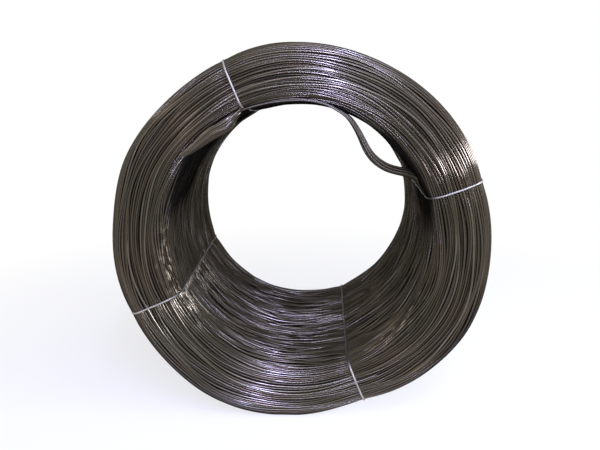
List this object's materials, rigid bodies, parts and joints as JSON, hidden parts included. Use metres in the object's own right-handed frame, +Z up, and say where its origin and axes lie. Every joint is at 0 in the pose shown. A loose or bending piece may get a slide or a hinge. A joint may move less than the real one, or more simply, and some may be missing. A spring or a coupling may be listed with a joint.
{
  "type": "wire coil",
  "caption": "Coil of dark spring steel wire standing on its rim, with a round bore, turns showing on its ends, binding wires round its section and a few turns sagging in the mouth.",
  "frame": {"origin": "on the floor, under the middle of the coil", "axes": "+Y along the bore axis to the plain end, -Y to the end with the sagging turns, +Z up"},
  "size_m": [0.8, 0.5286, 0.7998],
  "materials": {
    "wire": "drawn, dark brown-grey, lightly oiled",
    "tie": "galvanised soft wire"
  },
  "bodies": {
    "root": {"wire_coil": "wire", "sagging_turns": "wire", "tie_top": "tie", "tie_right": "tie", "tie_left": "tie", "tie_bottom": "tie"}
  },
  "joints": []
}
